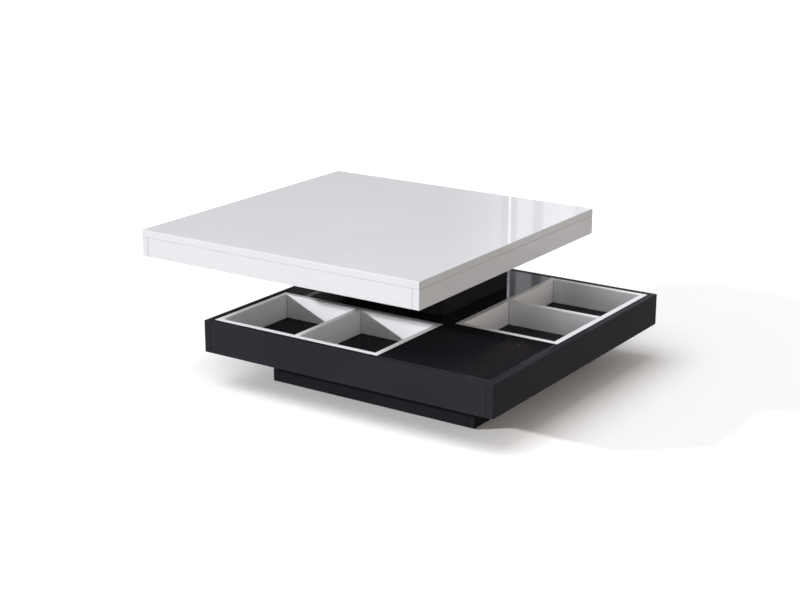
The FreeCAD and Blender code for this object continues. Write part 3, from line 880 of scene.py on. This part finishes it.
def make_screw_tree(name, head_rings, seed):
    """The tree of a screw with such a head."""
    tree, given = new_tree(name, screw_sizes)
    rings = [(work_out(tree, "MULTIPLY", given["Head"], share), height) for share, height in head_rings]
    head_height = head_rings[-1][1]
    shoulder = work_out(tree, "SUBTRACT", given["Length"], given["Point"])
    rings += [(given["Core"], head_height), (given["Core"], shoulder), (tip_radius, given["Length"])]
    screw = cross_cut(tree, turned(tree, screw_sides, rings), **cross_size)
    thread_length = work_out(tree, "SUBTRACT", shoulder, thread_start)
    first_turn = work_out(tree, "ADD", given["Pitch"], thread_start - screw_sizes["Pitch"])
    thread = threaded(tree, given["Core"], first_turn, thread_length, given["Pitch"], given["Ridge"])
    set_on_seats(tree, given, [screw, thread], zinc_steel, seed)
    return tree


flat_screw_tree = make_screw_tree("flat_head_screw", flat_head, seed=21)
round_screw_tree = make_screw_tree("round_head_screw", round_head, seed=31)
for node_name in ("plinth_screws", "base_floor_screws", "pedestal_screws"):
    make_set(flat_screw_tree, node_name, "base", "threaded")
make_set(flat_screw_tree, "top_screws", "top", "threaded")
make_set(round_screw_tree, "bearing_lower_screws", "base", "threaded")
make_set(round_screw_tree, "bearing_upper_screws", "top", "threaded")

# %% [markdown]
# ### Cam bolts
#
# A cam lock is two parts: the round cam in one board, and a bolt screwed into the face of the other.
# The bolt's ball end lies in the middle of the cam, which grips it behind the neck and pulls the joint
# tight. A collar stops the bolt at the face of the board that it is screwed into. Both ends of the
# plain solid are alike, so the middles of the cams tell which end is the ball.

# %% Cam bolts
bolt_sides = 20
bolt_sizes = {
    "Length": 0.046,
    "Radius": 0.003,
    "Neck": 0.0017,
    "Core": 0.0022,
    "Joint": 0.034,
    "Pitch": 0.0016,
    "Ridge": 0.0006,
}
ball_cap_radius = 0.0016
ball_side_radius = 0.0027
bolt_tip_radius = 0.0009
collar_width = 0.0015
shank_step = 0.0006
bolt_point = 0.0018
thread_run_in = 0.0006

bolt_tree, given = new_tree("cam_bolt", bolt_sizes)
collar_start = work_out(bolt_tree, "SUBTRACT", given["Joint"], collar_width)
point_start = work_out(bolt_tree, "SUBTRACT", given["Length"], bolt_point)
shank_radius = work_out(bolt_tree, "SUBTRACT", given["Radius"], shank_step)
ball_end = [
    (ball_cap_radius, 0.0),
    (ball_side_radius, 0.0006),
    (given["Radius"], 0.0015),
    (ball_side_radius, 0.0024),
]
neck = [(given["Neck"], 0.0032), (given["Neck"], 0.0078)]
shank = [(shank_radius, 0.0086), (shank_radius, collar_start)]
collar = [(given["Radius"], collar_start), (given["Radius"], given["Joint"])]
screw_end = [
    (given["Core"], given["Joint"]),
    (given["Core"], point_start),
    (bolt_tip_radius, given["Length"]),
]
bolt = turned(bolt_tree, bolt_sides, ball_end + neck + shank + collar + screw_end)

bolt_thread_start = work_out(bolt_tree, "ADD", given["Joint"], thread_run_in)
bolt_thread_length = work_out(bolt_tree, "SUBTRACT", point_start, bolt_thread_start)
thread_sizes = (bolt_thread_start, bolt_thread_length, given["Pitch"], given["Ridge"])
bolt_thread = threaded(bolt_tree, given["Core"], *thread_sizes)
set_on_seats(bolt_tree, given, [bolt, bolt_thread], zinc_steel, seed=41)
for body in ("base", "top"):
    cam_middles = [sum(points, Vector()) / len(points) for points in separate_solids(body + "_cams")]
    make_set(bolt_tree, body + "_cam_bolts", body, "threaded", cam_middles)

# %% [markdown]
# ### Balls
#
# The balls run in the bearing's two grooves and turn with the cage. The solids are cut into flat facets,
# which would break up the mirror, so each ball is made again as a sphere. A few rings are enough,
# because it is shaded smooth. Its seat lies at one of its poles, so it is lifted by its radius.

# %% Balls
ball_tree, given = new_tree("bearing_ball", {"Length": 0.008})
ball = add_node(ball_tree, "GeometryNodeMeshUVSphere", inputs={"Segments": 28, "Rings": 14})
ball_radius = work_out(ball_tree, "MULTIPLY", given["Length"], 0.5)
join(ball_tree, ball_radius, ball.inputs["Radius"])
seated_ball = lifted(ball_tree, ball.outputs["Mesh"], ball_radius)
set_on_seats(ball_tree, given, [seated_ball], ball_steel, seed=51)
make_set(ball_tree, "bearing_balls", "ball_cage", "polished")

# %% [markdown]
# ### Glides
#
# The glides are nailed under the plinth: a slightly domed disc that slides on the floor, and the pin
# that holds it. It is a turned shape again. The dome is a row of rings, as shares of the disc's radius
# and height, so it keeps its form if the disc is made wider or thicker.

# %% Glides
glide_sides = 32
glide_sizes = {"Length": 0.0135, "Radius": 0.008, "Disc": 0.0015, "Pin": 0.0015}
dome = [(0.55, 0.0), (0.80, 0.08), (0.93, 0.28), (1.0, 0.55), (1.0, 0.85), (0.97, 1.0)]
pin_point = 0.002
pin_tip_radius = 0.0002

glide_tree, given = new_tree("floor_glide", glide_sizes)
glide_rings = []
for radius_share, height_share in dome:
    ring_radius = work_out(glide_tree, "MULTIPLY", given["Radius"], radius_share)
    ring_height = work_out(glide_tree, "MULTIPLY", given["Disc"], height_share)
    glide_rings.append((ring_radius, ring_height))
pin_shoulder = work_out(glide_tree, "SUBTRACT", given["Length"], pin_point)
glide_rings += [
    (given["Pin"], given["Disc"]),
    (given["Pin"], pin_shoulder),
    (pin_tip_radius, given["Length"]),
]
set_on_seats(glide_tree, given, [turned(glide_tree, glide_sides, glide_rings)], glide_plastic, seed=61)
make_set(glide_tree, "floor_glides", "base", "domed")

# %% [markdown]
# ## The floor
#
# A gloss surface is only as good as what it reflects, so the set is kept plain. The floor is pale and
# runs far out. A pale floor throws a lot of light up, which would flatten the shaded sides, so for
# light that bounces it is a middle grey, and for the eye and for the gloss it is nearly white. The
# Light Path node tells the two apart. The floor stays a lit surface, so the table's shadow lies on it.

# %% Floor
floor_reach = 40.0
seen_floor = (0.97, 0.97, 0.97)
bounce_floor = (0.18, 0.18, 0.18)
floor_glow = 0.03

floor_points = [(x * floor_reach, y * floor_reach, 0.0) for x, y in ((-1, -1), (1, -1), (1, 1), (-1, 1))]
floor_mesh = bpy.data.meshes.new("floor")
floor_mesh.from_pydata(floor_points, [], [(0, 1, 2, 3)])
floor = bpy.data.objects.new("floor", floor_mesh)
scene.collection.objects.link(floor)

floor_finish, tree, shader, _ = new_finish("pale_floor")
shader.inputs["Roughness"].default_value = 1.0
shader.inputs["Specular IOR Level"].default_value = 0.0
shader.inputs["Emission Color"].default_value = (1.0, 1.0, 1.0, 1.0)
light_path = add_node(tree, "ShaderNodeLightPath").outputs
looked_at = work_out(tree, "MAXIMUM", light_path["Is Camera Ray"], light_path["Is Glossy Ray"])
looked_at = work_out(tree, "MAXIMUM", looked_at, light_path["Is Transmission Ray"])
join(tree, blend_colours(tree, looked_at, bounce_floor, seen_floor), shader.inputs["Base Color"])
join(tree, work_out(tree, "MULTIPLY", looked_at, floor_glow), shader.inputs["Emission Strength"])
floor_mesh.materials.append(floor_finish)
print("floor:", 2 * floor_reach, "m wide")

# %% [markdown]
# ## The surroundings
#
# The top and the deck are seen at a low angle, and mirror what stands behind the table. An even grey
# would hide the gloss, so the surroundings are a ring of pale and dark walls, painted on the sky by
# compass direction. Real walls and screens would do as well, but they would also cast shadows and would
# stand in the way of the other views.

# %% Walls
# Wall brightness by compass direction in degrees: 0 is behind the table, 90 right, 180 in front.
wall_levels = (
    (-180.0, 0.25),
    (-120.0, 0.28),
    (-65.0, 0.28),
    (-58.0, 0.12),
    (-34.0, 0.09),
    (-31.2, 0.09),
    (-30.45, 0.55),
    (-24.0, 0.90),
    (-12.0, 0.45),
    (30.0, 0.40),
    (60.0, 0.72),
    (140.0, 0.72),
    (180.0, 0.25),
)


def grey_ramp(tree, source, stops):
    """A ramp of greys between the first and the last stop, each stop a source value and a grey."""
    first, last = stops[0][0], stops[-1][0]
    ramp = add_node(tree, "ShaderNodeValToRGB")
    while len(ramp.color_ramp.elements) < len(stops):
        ramp.color_ramp.elements.new(1.0)
    for element, (value, grey) in zip(ramp.color_ramp.elements, stops):
        element.position = (value - first) / (last - first)
        element.color = (grey, grey, grey, 1.0)
    share = add_node(tree, "ShaderNodeMapRange", inputs={"From Min": first, "From Max": last})
    join(tree, source, share.inputs["Value"])
    join(tree, share.outputs["Result"], ramp.inputs["Fac"])
    return ramp.outputs["Color"]


world = bpy.data.worlds.new("pale_room")
scene.world = world
world.use_nodes = True
sky = world.node_tree
towards = add_node(sky, "ShaderNodeSeparateXYZ")
join(sky, add_node(sky, "ShaderNodeTexCoord").outputs["Generated"], towards.inputs["Vector"])
compass = work_out(sky, "ARCTAN2", towards.outputs["X"], towards.outputs["Y"])
compass = work_out(sky, "MULTIPLY", compass, math.degrees(1.0))
walls = grey_ramp(sky, compass, wall_levels)
print("walls:", len(wall_levels), "stops all the way round")

# %% [markdown]
# ### A gap between the walls
#
# Where two wall panels nearly meet there is a narrow bright gap with soft bands beside it. A straight
# line, mirrored without a wobble, is what tells the eye that the lacquer is flat and clear. A second
# ramp, only a few degrees wide, is multiplied into the first, because one ramp all the way round would
# be too coarse for it.

# %% The gap
gap_direction = -29.97
# The bands beside the gap: degrees from the gap, and how much brighter the wall is there.
gap_bands = (
    (-0.34, 1.0),
    (-0.28, 0.5),
    (-0.03, 0.5),
    (-0.01, 3.2),
    (0.03, 3.2),
    (0.05, 0.5),
    (0.26, 0.5),
    (0.30, 1.2),
    (0.86, 1.1),
    (0.90, 0.5),
    (1.22, 0.55),
    (1.26, 1.1),
    (2.4, 1.2),
    (2.45, 0.8),
    (2.75, 0.8),
    (2.8, 1.15),
    (3.6, 1.0),
)
bands = grey_ramp(sky, work_out(sky, "SUBTRACT", compass, gap_direction), gap_bands)
walls = work_out(sky, "MULTIPLY", walls, bands)
print("gap:", len(gap_bands), "stops in", round(gap_bands[-1][0] - gap_bands[0][0], 2), "degrees")

# %% [markdown]
# ### From the horizon to the ceiling
#
# Upwards, the sky goes from a bright horizon through the walls to a quiet ceiling. A slight tint, cool
# on the left and warm on the right, keeps the white sides from looking like one grey.

# %% Sky
horizon_level = 0.95
overhead_level = 0.50
horizon_top = {"from_low": 0.14, "from_high": 0.21}
wall_top = {"from_low": 0.42, "from_high": 0.62}
cool_tint = (0.95, 0.985, 1.04)
warm_tint = (1.08, 0.985, 0.91)
left_to_right = {"from_low": -0.5, "from_high": 0.7}

above_horizon = spread(sky, towards.outputs["Z"], 0.0, 1.0, **horizon_top)
above_walls = spread(sky, towards.outputs["Z"], 0.0, 1.0, **wall_top)
level = blend_colours(sky, above_horizon, (horizon_level,) * 3, walls)
level = blend_colours(sky, above_walls, level, (overhead_level,) * 3)
rightness = spread(sky, towards.outputs["X"], 0.0, 1.0, **left_to_right)
background = sky.nodes["Background"]
join(sky, blend_colours(sky, rightness, cool_tint, warm_tint), background.inputs["Color"])
join(sky, level, background.inputs["Strength"])
print("sky:", horizon_level, "at the horizon,", overhead_level, "overhead")

# %% [markdown]
# ## The lamps
#
# Two lamps do the rest. A low window in front and to the left reaches in under the top, lights the trays
# and draws the diagonal shadow on their back walls. Its shadows are nearly sharp, so it is small, and a
# lamp that small would glint like a pinhead in every eased edge, so the gloss doesn't see it. A broad
# soft lamp higher up lights the top and lets the right side fall dim.

# %% Lamps
def add_sun(name, towards, strength, softness):
    """A distant lamp that shines from that direction, with a shadow as soft as its angle in degrees."""
    data = bpy.data.lights.new(name, "SUN")
    data.energy = strength * math.pi
    data.angle = math.radians(softness)
    lamp = bpy.data.objects.new(name, data)
    lamp.rotation_euler = Vector(towards).to_track_quat("Z", "Y").to_euler()
    scene.collection.objects.link(lamp)
    return lamp


low_window = add_sun("low_window", (-1.17, -1.0, 0.50), strength=1.05, softness=2.0)
low_window.visible_glossy = False
high_fill = add_sun("high_fill", (-0.3, -0.25, 0.92), strength=0.51, softness=50.0)
print("lamps:", low_window.name, high_fill.name)

# %% [markdown]
# ## Finish
#
# The last cell sets the plain view transform.

# %% Finish
scene.view_settings.view_transform = "Standard"
